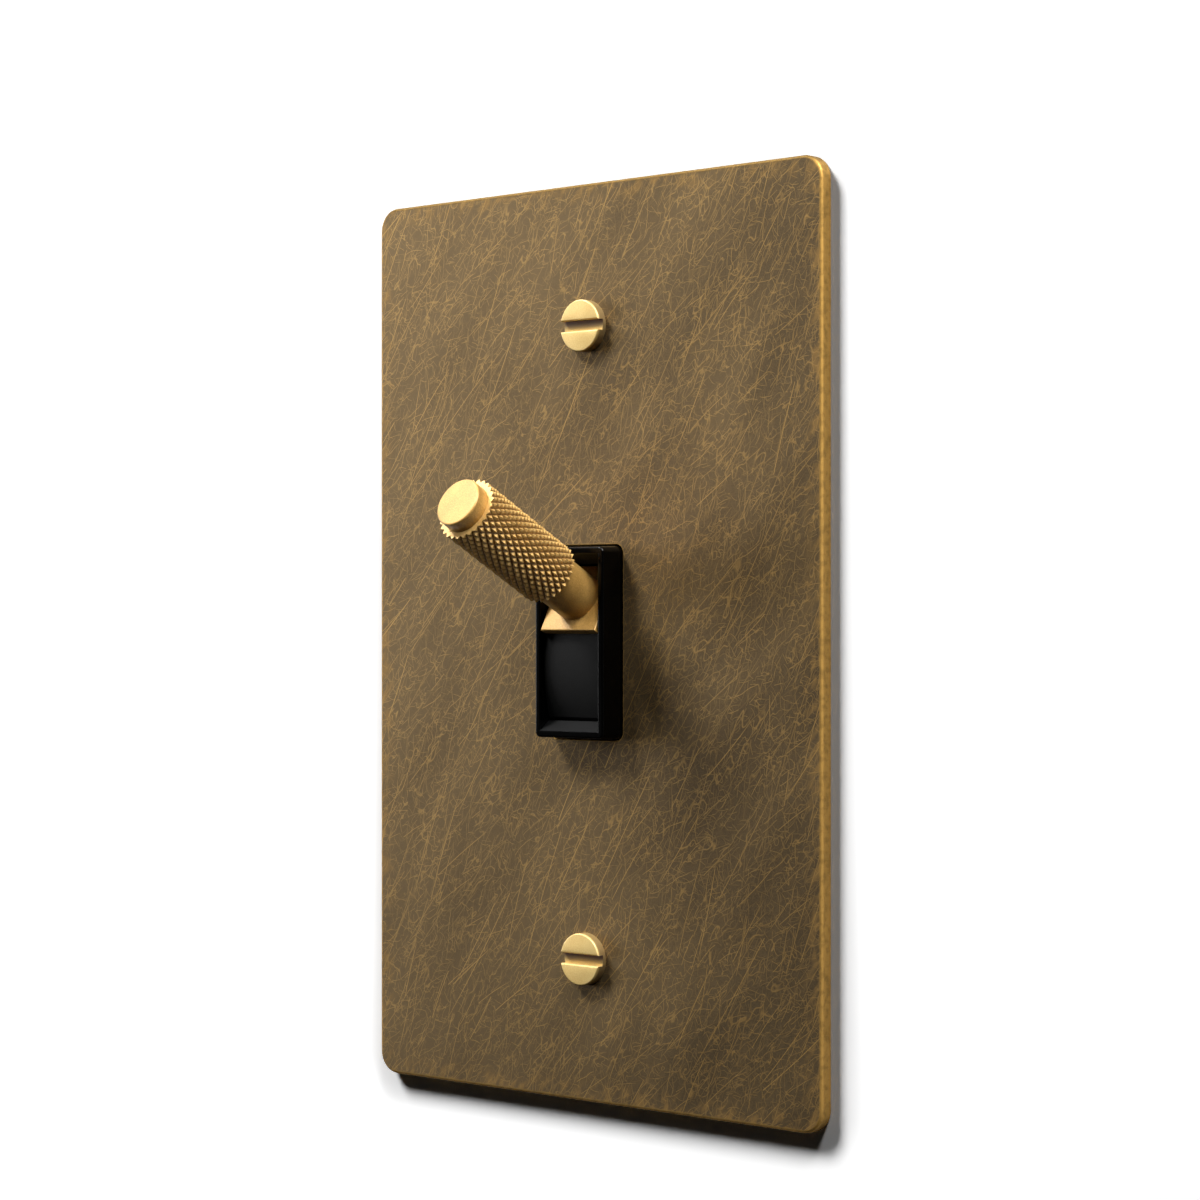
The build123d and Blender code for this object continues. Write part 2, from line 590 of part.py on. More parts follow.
pieces = {
    "faceplate": faceplate(),
    "face_screws": face_screws(),
    "toggle_frame": toggle_frame(),
    "mounting_yoke": mounting_yoke(),
    "switch_housing": switch_housing(),
    "rear_cover": rear_cover(),
    "assembly_screws": assembly_screws(),
    "rocker": rocker(),
    "threaded_insert": threaded_insert(),
    "lever_base": lever_base(),
    "lever_rod": lever_rod(),
    "knurled_sleeve": knurled_sleeve(),
    "pivot_pin": pivot_pin(),
    "snap_spring": snap_spring(),
    "contact_arm": contact_arm(),
    "moving_contacts": moving_contacts(),
    "fixed_contacts": fixed_contacts(),
    "common_terminal": common_terminal(),
    "upper_terminal": side_terminal(1),
    "lower_terminal": side_terminal(2),
    "arm_pin": arm_pin(),
    "wire_clamps": wire_clamps(),
    "terminal_screws": terminal_screws(),
    "earth_screw": earth_screw(),
}

os.makedirs("parts", exist_ok=True)
for name, shape in pieces.items():
    solids = shape if isinstance(shape, list) else [shape]
    group = Compound(children=[solid.solid() for solid in solids])
    export_step(group, f"parts/{name}.step")
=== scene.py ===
import json
import math

import bmesh
import bpy
import numpy as np
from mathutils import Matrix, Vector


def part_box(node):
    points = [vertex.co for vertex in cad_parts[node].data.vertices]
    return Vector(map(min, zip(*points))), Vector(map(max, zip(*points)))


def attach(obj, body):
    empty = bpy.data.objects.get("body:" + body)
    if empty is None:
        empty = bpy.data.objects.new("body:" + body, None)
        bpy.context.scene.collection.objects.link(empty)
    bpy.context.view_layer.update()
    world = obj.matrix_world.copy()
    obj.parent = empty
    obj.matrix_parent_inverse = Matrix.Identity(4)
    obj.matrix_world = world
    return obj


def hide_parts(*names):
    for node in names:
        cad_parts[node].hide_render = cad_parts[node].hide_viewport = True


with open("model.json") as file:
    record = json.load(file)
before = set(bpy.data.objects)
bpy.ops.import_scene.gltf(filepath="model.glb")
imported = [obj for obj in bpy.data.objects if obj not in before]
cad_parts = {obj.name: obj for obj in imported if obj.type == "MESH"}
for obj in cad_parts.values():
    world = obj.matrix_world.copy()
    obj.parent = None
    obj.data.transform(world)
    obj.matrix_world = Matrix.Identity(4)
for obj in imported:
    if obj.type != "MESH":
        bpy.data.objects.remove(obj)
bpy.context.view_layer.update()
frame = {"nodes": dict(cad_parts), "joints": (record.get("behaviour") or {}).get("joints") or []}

# Housing and rear cover: the switch's body, a dark phenolic moulding with a slightly matt skin.
# Four long screws clamp the cover, the body and the front cover to the strap.

MOULDED_EDGE = 0.0002


class Wire:
    """One output of a shader node. Arithmetic on wires adds Math nodes to their material."""

    def __init__(self, tree, socket=None):
        self.tree = tree
        self.socket = socket

    def add(self, kind, settings=None, inputs=None, output=0):
        """Add a node of a kind, with its settings and then its inputs, each a wire or a value."""
        node = self.tree.nodes.new("ShaderNode" + kind)
        for name, value in (settings or {}).items():
            setattr(node, name, value)
        for key, value in (inputs or {}).items():
            if isinstance(value, Wire):
                self.tree.links.new(value.socket, node.inputs[key])
            else:
                node.inputs[key].default_value = value
        return Wire(self.tree, node.outputs[output])

    def also(self, output):
        """Another output of the same node."""
        return Wire(self.tree, self.socket.node.outputs[output])

    def math(self, operation, *terms):
        return self.add("Math", {"operation": operation}, dict(enumerate((self,) + terms)))

    def vector(self, operation, *terms, output=0):
        return self.add("VectorMath", {"operation": operation}, dict(enumerate((self,) + terms)), output)

    def __add__(self, other):
        return self.math("ADD", other)

    def __sub__(self, other):
        return self.math("SUBTRACT", other)

    def __rsub__(self, other):
        return self.add("Math", {"operation": "SUBTRACT"}, {0: other, 1: self})

    def __mul__(self, other):
        return self.math("MULTIPLY", other)

    def __rtruediv__(self, other):
        return self.add("Math", {"operation": "DIVIDE"}, {0: other, 1: self})

    def __abs__(self):
        return self.math("ABSOLUTE")

    __radd__ = __add__
    __rmul__ = __mul__

    def highest(self, other):
        return self.math("MAXIMUM", other)

    def between(self, low, high):
        """0 at low and 1 at high, with a smooth step between them. High may be the smaller number."""
        inputs = {"Value": self, "From Min": low, "From Max": high}
        return self.add("MapRange", {"interpolation_type": "SMOOTHSTEP"}, inputs)

    def scaled(self, factor):
        """This vector times a number."""
        return self.add("VectorMath", {"operation": "SCALE"}, {0: self, 3: factor})

    def split(self):
        """This vector's X, Y and Z."""
        x = self.add("SeparateXYZ", {}, {0: self})
        return x, x.also(1), x.also(2)

    def paired(self, other):
        """The vector of this number and another, with 0 as its third."""
        return self.add("CombineXYZ", {}, {0: self, 1: other})

    def noise(self, size, detail=2.0, roughness=0.5, output=0):
        """Cloudy noise whose lumps are about size across."""
        inputs = {"Vector": self, "Scale": 1 / size, "Detail": detail, "Roughness": roughness}
        return self.add("TexNoise", {}, inputs, output)

    def tint(self, first, second):
        """The first colour where this wire is 0 and the second where it is 1."""
        return self.add("Mix", {"data_type": "RGBA"}, {0: self, 6: first, 7: second}, 2)

    def bump(self, strength, depth):
        """A normal that follows this wire as a height, where 1 stands for the depth in metres."""
        return self.add("Bump", {}, {"Height": self, "Strength": strength, "Distance": depth})


def colour(red, green, blue):
    """A screen colour of 0 to 255 as the linear colour that a shader takes."""
    share = np.array([red, green, blue]) / 255
    linear = np.where(share <= 0.04045, share / 12.92, ((share + 0.055) / 1.055) ** 2.4)
    return (*linear.tolist(), 1.0)


def new_finish(name, **constants):
    """A material with one Principled shader. Returns it, its shader and its place in millimetres."""
    material = bpy.data.materials.new(name)
    material.use_nodes = True
    shader = material.node_tree.nodes["Principled BSDF"]
    for key, value in constants.items():
        shader.inputs[key.replace("_", " ")].default_value = value
    place = Wire(material.node_tree).add("TexCoord", {}, {}, "Object")
    return material, shader, place.scaled(1000.0)


def feed(shader, **wires):
    """Link wires to a shader's sockets."""
    for key, wire in wires.items():
        wire.tree.links.new(wire.socket, shader.inputs[key.replace("_", " ")])


def dress(material, *nodes):
    """Give CAD nodes a material."""
    for node in nodes:
        frame["nodes"][node].data.materials[0] = material


def soften(width, *nodes):
    """Round the edges of CAD nodes by a width in metres: join the facets, then bevel what is sharp."""
    for node in nodes:
        solid = frame["nodes"][node]
        solid.modifiers.new("join", "WELD").merge_threshold = 1e-6
        merge = solid.modifiers.new("flatten", "DECIMATE")
        merge.decimate_type = "DISSOLVE"
        merge.angle_limit = math.radians(0.5)
        edge = solid.modifiers.new("round", "BEVEL")
        edge.width = width
        edge.segments = 2
        edge.angle_limit = math.radians(40)
        normals = solid.modifiers.new("normals", "WEIGHTED_NORMAL")
        normals.keep_sharp = True


def dark_moulding():
    """Matt moulding compound: near black with a fine mineral speckle."""
    material, shader, place = new_finish("dark_moulding", Specular_IOR_Level=0.4)
    speckle = place.noise(0.3, 2.0)
    cloud = place.noise(9.0, 3.0)
    mixed = (cloud * 0.6 + speckle * 0.4).between(0.35, 0.7)
    feed(shader, Base_Color=mixed.tint(colour(34, 34, 35), colour(50, 49, 48)),
         Roughness=0.45 + 0.2 * speckle, Normal=speckle.bump(0.25, 0.00006))
    return material


dress(dark_moulding(), "switch_housing", "rear_cover")
soften(MOULDED_EDGE, "switch_housing", "rear_cover")

# Contacts and terminals: stamped brass strips with silver buttons riveted on, in the body's pockets.
# A see-saw arm on a steel pin joins the common terminal to either of the others. Zinc plated clamps
# under brass screws hold the wires.

STAMPED_EDGE = 0.0001
PLATED_EDGE = 0.00012


def terminal_brass():
    """Stamped strip brass, slightly tarnished."""
    material, shader, place = new_finish("terminal_brass", Metallic=1.0)
    cloud = place.noise(3.0, 3.0)
    grain = place.noise(0.2, 2.0)
    feed(shader, Base_Color=cloud.between(0.3, 0.7).tint(colour(196, 158, 92), colour(168, 126, 70)),
         Roughness=0.25 + 0.2 * grain, Normal=grain.bump(0.15, 0.00004))
    return material


def plain_metal(name, first, second, roughness):
    """A drawn or pressed metal with soft staining and a fine grain."""
    material, shader, place = new_finish(name, Metallic=1.0)
    cloud = place.noise(1.5, 3.0)
    grain = place.noise(0.15, 2.0)
    feed(shader, Base_Color=cloud.between(0.3, 0.7).tint(first, second),
         Roughness=roughness + 0.15 * grain, Normal=grain.bump(0.12, 0.00003))
    return material


def zinc_steel():
    """Plated sheet: pale grey with a faint yellow and blue bloom, and fine rolling grain along Z."""
    material, shader, place = new_finish("zinc_plated_steel", Metallic=1.0)
    bloom = place.noise(7.0, 3.0)
    grain = place.vector("MULTIPLY", (1.0, 1.0, 0.06)).noise(0.25, 3.0)
    feed(shader, Base_Color=bloom.between(0.35, 0.7).tint(colour(176, 176, 172), colour(188, 180, 156)),
         Roughness=0.28 + 0.2 * grain, Normal=grain.bump(0.25, 0.00004))
    return material


strip_brass = terminal_brass()
contact_silver = plain_metal("contact_silver", colour(214, 212, 206), colour(190, 186, 176), 0.2)
spring_steel = plain_metal("spring_steel", colour(170, 172, 174), colour(140, 142, 146), 0.2)
plated_steel = zinc_steel()
dress(strip_brass, "contact_arm", "common_terminal", "upper_terminal", "lower_terminal", "terminal_screws")
dress(contact_silver, "moving_contacts", "fixed_contacts")
dress(spring_steel, "arm_pin")
dress(plated_steel, "wire_clamps")
soften(STAMPED_EDGE, "common_terminal", "upper_terminal", "lower_terminal", "terminal_screws")
soften(PLATED_EDGE, "wire_clamps")

# Front cover and bezel: one moulding in gloss black thermoset, whose mouth shows through the plate.
# Its cheeks carry the lever's pivot behind the plate.

MOUTH_HALF_WIDTH = 5.09
MOUTH_HALF_HEIGHT = 11.61


def gloss_black():
    """Polished black moulding with faint flow marks. The mouth's sloping ends are left matt as moulded,
    and painted paler as painted light falling on them.
    """
    material, shader, place = new_finish("gloss_black_moulding", Specular_IOR_Level=0.12)
    flow = place.noise(5.0, 3.0)
    speck = place.noise(0.22, 1.0).between(0.62, 0.8)
    x, _, z = place.split()
    beside = abs(x).between(MOUTH_HALF_WIDTH + 0.02, MOUTH_HALF_WIDTH - 0.02)
    matt_and_painted_light_ends = beside * abs(z).between(MOUTH_HALF_HEIGHT + 0.05, MOUTH_HALF_HEIGHT - 0.05)
    skin = speck.tint(colour(4, 4, 4), colour(8, 8, 8))
    # the sloping ends get a paler colour, which is painted light, and a rougher finish
    feed(shader, Base_Color=matt_and_painted_light_ends.tint(skin, colour(18, 18, 18)),
         Roughness=0.14 + 0.1 * flow + 0.26 * matt_and_painted_light_ends, Normal=flow.bump(0.08, 0.0003))
    return material


dress(gloss_black(), "toggle_frame")

# Rocker: a charcoal moulding, lightly eroded in the tool so that its wings look matt. It turns on a
# steel pin in the cover's cheeks, and a wire spring in its tail presses on the contact arm.
# The lever screws into a brass bush in its post.


def charcoal():
    """Spark-eroded plastic: charcoal with a fine grainy skin."""
    material, shader, place = new_finish("charcoal_moulding", Specular_IOR_Level=0.12)
    grain = place.noise(0.16, 1.0)
    feed(shader, Base_Color=grain.between(0.45, 0.75).tint(colour(8, 8, 8), colour(14, 14, 13)),
         Roughness=0.5 + 0.15 * grain, Normal=grain.bump(0.3, 0.00005))
    return material


dress(charcoal(), "rocker")
dress(spring_steel, "pivot_pin", "snap_spring")
dress(strip_brass, "threaded_insert")

# Mounting strap: a steel pressing, zinc plated and passivated, that carries the whole switch.
# It lies in a shallow pocket behind the plate, and the plate screws pass through its ends.
# Its earth tab has a green plated screw.

earth_green = plain_metal("earth_green", colour(60, 122, 62), colour(44, 98, 50), 0.3)
dress(plated_steel, "mounting_yoke", "assembly_screws")
dress(earth_green, "earth_screw")
soften(PLATED_EDGE, "mounting_yoke", "assembly_screws")
soften(STAMPED_EDGE, "earth_screw")

# Lever: a turned brass rod with a button at its tip, a square base plate and a knurled sleeve.
# All are brass with a tumbled satin finish, lacquered. The rod clamps the base to the rocker.

KNURL_TEETH = 27
KNURL_ANGLE = 32.0
KNURL_DEPTH = 0.00045
KNURL_CROWN = 1.12
KNURL_FINENESS = 6


def satin_brass(name, metallic, roughness, deep, pale, darkening=None, darkened=None):
    """Tumbled brass: warm gold, lightly mottled, with a fine sandy grain under a clear lacquer.

    Darkening is a function that gives where the brass is darker, and darkened is that colour: painted
    shade in the screw slots, a darker band on the screw heads' sides, and darker knurl grooves.
    """
    material, shader, place = new_finish(name, Metallic=metallic, Coat_Weight=0.6, Coat_Roughness=0.35)
    cloud = place.noise(2.5, 3.0)
    grain = place.noise(0.18, 2.0)
    gold = (0.4 * cloud + 0.6 * grain).between(0.32, 0.68).tint(deep, pale)
    if darkening:
        gold = darkening(place).tint(gold, darkened)
    feed(shader, Base_Color=gold, Roughness=roughness + 0.14 * grain, Normal=grain.bump(0.6, 0.00006))
    return material


lever_brass = satin_brass("satin_brass", 0.5, 0.64, colour(193, 149, 68), colour(218, 175, 90))
dress(lever_brass, "lever_base", "lever_rod")


def lever_coordinates(points):
    """Points as (distance along the lever from its pivot, across along X, across upwards).

    The lever rests half its travel above straight out, so its axis is -Y turned up by that half.
    Also returns the pivot and the three directions.
    """
    joint = next(j for j in frame["joints"] if j["name"] == "lever_tilt")
    tilt = math.radians(joint["range_deg"][1] / 2)
    pivot = np.array(joint["pos_m"])
    axis = np.array([0.0, -math.cos(tilt), math.sin(tilt)])
    upward = np.array([0.0, math.sin(tilt), math.cos(tilt)])
    basis = np.array([axis, [1.0, 0.0, 0.0], upward])
    return (points - pivot) @ basis.T, pivot, basis


def mesh_piece(name, points, faces, material, sharp):
    """A mesh object at the origin, faces outwards. Edges that turn by over sharp degrees stay crisp."""
    mesh = bpy.data.meshes.new(name)
    mesh.from_pydata(points.tolist(), [], faces)
    shell = bmesh.new()
    shell.from_mesh(mesh)
    bmesh.ops.recalc_face_normals(shell, faces=shell.faces)
    shell.to_mesh(mesh)
    shell.free()
    mesh.polygons.foreach_set("use_smooth", np.ones(len(mesh.polygons), bool))
    mesh.set_sharp_from_angle(angle=math.radians(sharp))
    mesh.materials.append(material)
    piece = bpy.data.objects.new(name, mesh)
    bpy.context.scene.collection.objects.link(piece)
    return piece


def ring_quads(rows, columns, closed, start=0):
    """Quads of a grid whose rows close on themselves, with its first point numbered start.

    If closed, the last row meets the first.
    """
    i, j = np.meshgrid(np.arange(rows if closed else rows - 1), np.arange(columns), indexing="ij")
    right = (j + 1) % columns
    row = start + i * columns
    below = start + (i + 1) % rows * columns
    return np.stack([row + j, row + right, below + right, below + j], -1).reshape(-1, 4).tolist()


def knurled_tube(start, end, outer, bore):
    """Points and quads of a knurled tube along its own axis.

    The outside's height is the lesser of two saw-tooth waves that run round and along the tube,
    one with each hand, so that it rises to a pyramid between the crossing grooves.
    The grid goes along the outside, over the end face, back through the bore and over the other face.
    """
    columns = 2 * KNURL_TEETH
    rows = round((end - start) * math.tan(math.radians(KNURL_ANGLE)) / (math.pi * 2 * outer / columns))
    u = np.arange(columns * KNURL_FINENESS) / KNURL_FINENESS
    v = np.arange(rows * KNURL_FINENESS + 1) / KNURL_FINENESS
    across, along = np.meshgrid(u, v)
    one_hand = np.abs((across + along) % 2 - 1)
    other_hand = np.abs((across - along) % 2 - 1)
    height = np.minimum(one_hand, other_hand)
    rounded = 1 - (1 - height) ** KNURL_CROWN
    radius = outer - KNURL_DEPTH * (1 - rounded)
    place = start + (end - start) * along / rows
    inner = np.full((2, len(u)), bore)
    inner_place = np.array([[end], [start]]) * np.ones(len(u))
    radius = np.vstack([radius, inner])
    place = np.vstack([place, inner_place])
    turn = 2 * np.pi * u / columns
    points = np.stack([place, radius * np.cos(turn), radius * np.sin(turn)], -1)
    return points.reshape(-1, 3), ring_quads(len(v) + 2, len(u), True)


def knurled_sleeve():
    """The sleeve, at the place and size of its CAD solid, darker deep in its grooves."""
    solid = frame["nodes"]["knurled_sleeve"].data
    vertices = np.empty(3 * len(solid.vertices), np.float32)
    solid.vertices.foreach_get("co", vertices)
    local, pivot, basis = lever_coordinates(vertices.reshape(-1, 3))
    reach = np.hypot(local[:, 1], local[:, 2])
    outer = reach.max()
    tip = local[:, 0].max()
    points, quads = knurled_tube(local[:, 0].min(), tip, outer, reach.min())

    def groove_darkening(place):
        """How far below the tips a place lies: the sleeve's radius less its distance from the axis.

        The end face is not darkened.
        """
        from_pivot = place.vector("SUBTRACT", tuple(1000 * pivot))
        off_axis = from_pivot.vector("CROSS_PRODUCT", tuple(basis[0])).vector("LENGTH", output=1)
        sunk = off_axis.between(1000 * (outer - 0.35 * KNURL_DEPTH), 1000 * (outer - KNURL_DEPTH))
        along = from_pivot.vector("DOT_PRODUCT", tuple(basis[0]), output=1)
        return sunk * along.between(1000 * tip - 0.02, 1000 * tip - 0.3)

    # the last colour is the darker brass deep in the grooves
    knurl_brass = satin_brass("knurled_brass", 0.5, 0.6, colour(238, 194, 110), colour(252, 214, 134),
                              groove_darkening, colour(152, 106, 38))
    sleeve = mesh_piece("knurl", points @ basis + pivot, quads, knurl_brass, 50)
    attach(sleeve, "lever")
    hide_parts("knurled_sleeve")


knurled_sleeve()

# Front plate: sheet brass, patinated brown and then rubbed with wire wool, so that fine curly
# scratches show the metal. Its edges are rubbed through to bare brass.

PLATE_CORNER = 3.0
CUTOUT_HALF = (6.3, 12.8)
CUTOUT_CORNER = 1.05
PATINA = (colour(74, 59, 36), colour(125, 104, 71))
SCRATCHED = (colour(180, 141, 78), colour(220, 178, 108))
RUBBED = colour(176, 136, 72)
EDGE_BRASS = (colour(168, 132, 70), colour(112, 88, 46))
RUBBING_LEAN = 56
RUBBING_STRETCH = 0.42
HANDLED_PLACE = (0.0, -38.0, 0.0)
HANDLED_REACH = (26.0, 6.0)
EDGE_STREAKS = (3.6, 0.2)
# bare edge brass, and the darker brass of tarnish stains and of the painted shade along the top edge
EDGE_BARE = (0.55, 0.25)
LIP_BARE = (-0.3, -0.12)
# the painted shade along the top edge, from 1.5 mm below it to full at 0.3 mm
TOP_SHADE = (1.5, 0.3)


def hairlines(spot, cell, reach, width, curl, lean, spread, shift):
    """Scratches, 1 on a line and 0 off it.

    Each cell of a random mosaic holds one arc through its middle, at a random angle and with a
    random radius of at least twice curl. The arc fades out at its reach from the middle.
    """
    moved = spot.vector("ADD", (shift, 1.7 * shift, 0.0))
    mosaic = {"Vector": moved, "Scale": 1 / cell}
    middle = moved.add("TexVoronoi", {"voronoi_dimensions": "2D"}, mosaic, "Position")
    first = middle.add("SeparateColor", {}, {0: middle.also("Color")})
    second = first.also(1)
    third = first.also(2)
    heading = first * math.radians(spread) + math.radians(lean + 90 - spread / 2)
    radius = curl / (second - 0.5)
    sideways = heading.math("COSINE").paired(heading.math("SINE"))
    centre = sideways.vector("MULTIPLY_ADD", radius, middle)
    off_line = abs(moved.vector("DISTANCE", centre, output=1) - abs(radius))
    from_middle = moved.vector("DISTANCE", middle, output=1)
    return off_line.between(width, 0.0) * from_middle.between(reach, 0.35 * reach) * (0.3 + 0.7 * third)


def level_lines(spot, size, width, shift):
    """A net of wavy lines, where a smooth noise passes its middle value, broken by a second noise."""
    moved = spot.vector("ADD", (shift, -shift, 2.3 * shift))
    off_line = abs(moved.noise(size, 1.0) - 0.5)
    return off_line.between(width, 0.0) * moved.noise(1.7 * size, 1.0).between(0.38, 0.62)


def inside(x, z, half_width, half_height, corner):
    """Distance inwards from a rounded rectangle's outline, near that outline."""
    over_x = (abs(x) - (half_width - corner)).highest(0.0)
    over_z = (abs(z) - (half_height - corner)).highest(0.0)
    return corner - over_x.paired(over_z).vector("LENGTH", output=1)


def patina_brass():
    """Brown patina with clouds, a net of curly hair scratches, long straight ones and bare edges."""
    low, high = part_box("faceplate")
    half_width = 500 * (high.x - low.x)
    half_height = 500 * (high.z - low.z)
    material, shader, place = new_finish("patina_brass", Specular_IOR_Level=0.25)
    x, _, z = place.split()
    flat = x.paired(z)
    waver = flat.noise(2.6, 2.0, output="Color").vector("SUBTRACT", (0.5, 0.5, 0.5))
    wavering = flat.vector("ADD", waver.scaled(0.6))

    # the same place turned to the rubbing direction and squeezed along it, which stretches a noise
    lean = math.radians(RUBBING_LEAN)
    onward = x * math.cos(lean) + z * math.sin(lean)
    sideways = z * math.cos(lean) - x * math.sin(lean)
    rubbed = (onward * RUBBING_STRETCH).paired(sideways)

    # short curls and long strokes: cell, reach, width, curl, lean, spread, shift and strength
    curls = [
        (1.3, 1.15, 0.055, 0.6, 52, 220, 17.7, 0.6),
        (1.8, 1.7, 0.055, 1.1, 54, 150, 31.3, 0.64),
        (2.6, 2.5, 0.06, 2.2, 55, 100, 47.9, 0.68),
        (4.0, 3.9, 0.07, 5.0, 56, 70, 61.1, 0.74),
    ]
    strokes = [
        (6.5, 6.2, 0.07, 16.0, 57, 50, 89.9, 0.84),
        (9.0, 8.7, 0.08, 30.0, 57, 45, 113.7, 0.94),
        (15.0, 14.5, 0.09, 60.0, 58, 40, 101.3, 1.0),
        (22.0, 21.5, 0.09, 90.0, 58, 32, 137.9, 1.0),
    ]
    net = level_lines(rubbed, 2.1, 0.016, 5.3).highest(level_lines(rubbed, 1.5, 0.017, 23.9))
    net = net.highest(level_lines(flat, 1.7, 0.016, 41.7)) * 0.45
    scratch = net
    for spot, layers in ((wavering, curls), (flat, strokes)):
        for *arc, strength in layers:
            scratch = scratch.highest(hairlines(spot, *arc) * strength)

    # the ground is paler where clouds and handling make it so, and painted a little darker to the right
    # and below as painted shade
    cloud = rubbed.noise(11.0, 1.0)
    mottle = flat.noise(0.7, 2.0, 0.6)
    fine = flat.noise(0.2, 1.0)
    handled = flat.vector("DISTANCE", HANDLED_PLACE, output=1).between(*HANDLED_REACH)
    # painted shade: the ground darkens steadily towards the right and the bottom
    shade_slope = z * 0.0013 - x * 0.004
    tone = (0.55 * cloud + 0.2 * mottle + 0.3 * fine + 0.04 + 0.12 * handled + shade_slope).between(0.1, 0.9)
    worn = scratch.tint(tone.tint(*PATINA), tone.tint(*SCRATCHED))

    # streaks near the edges, then bare metal on the edges and round the opening, with painted shade
    # darkening the top edge and random tarnish stains
    edge = inside(x, z, half_width, half_height, PLATE_CORNER)
    streak = rubbed.noise(1.2, 2.0).between(0.42, 0.68)
    worn = (edge.between(*EDGE_STREAKS) * streak * 0.5).tint(worn, RUBBED)
    bare = (edge + (mottle - 0.5) * 0.4).between(*EDGE_BARE)
    lip = inside(x, z, *CUTOUT_HALF, CUTOUT_CORNER)
    bare = bare.highest((lip + (mottle - 0.5) * 0.2).between(*LIP_BARE) * 0.8)
    stain = 0.5 * place.noise(0.8, 2.0).between(0.4, 0.7)
    tarnish_and_top_shade = (half_height - z).between(*TOP_SHADE).highest(stain)
    feed(shader, Base_Color=bare.tint(worn, tarnish_and_top_shade.tint(*EDGE_BRASS)),
         Metallic=(0.5 + 0.4 * scratch).highest(bare),
         Roughness=0.52 + 0.12 * mottle - 0.12 * scratch + 0.06 * bare,
         Normal=(mottle * 0.6 + net * 0.6).bump(0.25, 0.00008))
    return material


dress(patina_brass(), "faceplate")

# Plate screws: turned brass with a straight slot, a thin neck and a machine thread.
# They hold the plate and the strap to the wall box.

SLOT_HALF = 0.0007
SLOT_DEPTH = 0.0009
HEAD_EDGE = 0.0002
HEAD_EDGE_TURNS = (0, 22, 45, 68, 90)
HEAD_ARC_POINTS = 49
HEAD_CHORD_POINTS = 24
NECK_RADIUS = 0.0015
THREAD_START = 0.0011
THREAD_RADIUS = 0.00175
THREAD_PITCH = 0.0008
THREAD_DEPTH = 0.0004
THREAD_ROWS = 10
SCREW_COLUMNS = 96


def stacked(loops, start):
    """Points and faces of a skin over loops of equal length, with a flat face at either end.

    Its first point is numbered start.
    """
    rows, columns = loops.shape[:2]
    numbers = start + np.arange(rows * columns).reshape(rows, columns)
    faces = ring_quads(rows, columns, False, start) + numbers[[0, -1]].tolist()
    return loops.reshape(-1, 3), faces


def head_half(radius, front):
    """Half of a slotted head: a circle's segment beside the slot, with a rounded upper edge.

    Each loop is an arc and its chord. The edge is a quarter circle, in from the side and up to the face.
    """
    turn = np.radians(HEAD_EDGE_TURNS)
    insets = np.append(0.0, HEAD_EDGE * (1 - np.cos(turn)))
    depths = np.append(SLOT_DEPTH, HEAD_EDGE * (1 - np.sin(turn)))
    loops = []
    for inset, depth in zip(insets, depths):
        chord = SLOT_HALF + inset
        first = math.asin(chord / (radius - inset))
        arc = np.linspace(first, math.pi - first, HEAD_ARC_POINTS)
        x = (radius - inset) * np.cos(arc)
        z = (radius - inset) * np.sin(arc)
        straight = np.linspace(x[-1], x[0], HEAD_CHORD_POINTS + 2)[1:-1]
        x = np.append(x, straight)
        z = np.append(z, np.full(HEAD_CHORD_POINTS, chord))
        loops.append(np.stack([x, np.full(len(x), front + depth), z], -1))
    return np.array(loops)


def screw_body(radius, front, plate, end):
    """Everything under the slot: a lathe profile, whose thread rises and falls along a helix.

    The thread's height is a triangle wave of the distance along the screw less the turn round it.
    """
    turn = 2 * np.pi * np.arange(SCREW_COLUMNS) / SCREW_COLUMNS
    plain_y = np.array([front, front, plate, plate, THREAD_START])
    plain_r = np.array([0.2 * radius, radius, radius, NECK_RADIUS, NECK_RADIUS])
    step = THREAD_PITCH / THREAD_ROWS
    y = np.arange(THREAD_START + step, end - THREAD_DEPTH, step)
    wave = np.abs((y[:, None] / THREAD_PITCH - turn / (2 * np.pi)) % 1 - 0.5) * 2
    taper = np.minimum((end - y) / THREAD_DEPTH / 3, 1)[:, None]
    thread = THREAD_RADIUS - THREAD_DEPTH * (1 - wave * taper)
    tip_y = np.array([end, end])
    tip_r = np.array([0.8, 0.2]) * (THREAD_RADIUS - THREAD_DEPTH)
    around = np.ones(len(turn))
    depth = np.concatenate([plain_y, y, tip_y])[:, None] * around
    reach = np.vstack([plain_r[:, None] * around, thread, tip_r[:, None] * around])
    return np.stack([reach * np.cos(turn), depth, reach * np.sin(turn)], -1)


def slot_shade_and_dark_side(place):
    """Painted shade in the slots, and a darker band on the head's side.

    It is 0 at the head's face and at a slot's lower side, and 1 on the slot's floor near its upper side.
    """
    low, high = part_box("face_screws")
    rim = 500 * (high.x - low.x)
    floor = 1000 * SLOT_DEPTH
    wall = 1000 * SLOT_HALF
    x, y, z = place.split()
    depth = y - 1000 * low.y
    upward = (abs(z) - (1000 * high.z - rim)) * z.math("SIGN")
    in_depth = depth.between(0.1, 0.7) * depth.between(floor + 0.1, floor + 0.03)
    in_slot = in_depth * abs(upward).between(wall + 0.1, wall + 0.02)
    off_axis = x.paired(upward).vector("LENGTH", output=1)
    side = off_axis.between(rim - 0.12, rim - 0.03) * depth.between(0.1, 0.5)
    return (in_slot * upward.between(-0.75, 0.5)).highest(0.6 * side)


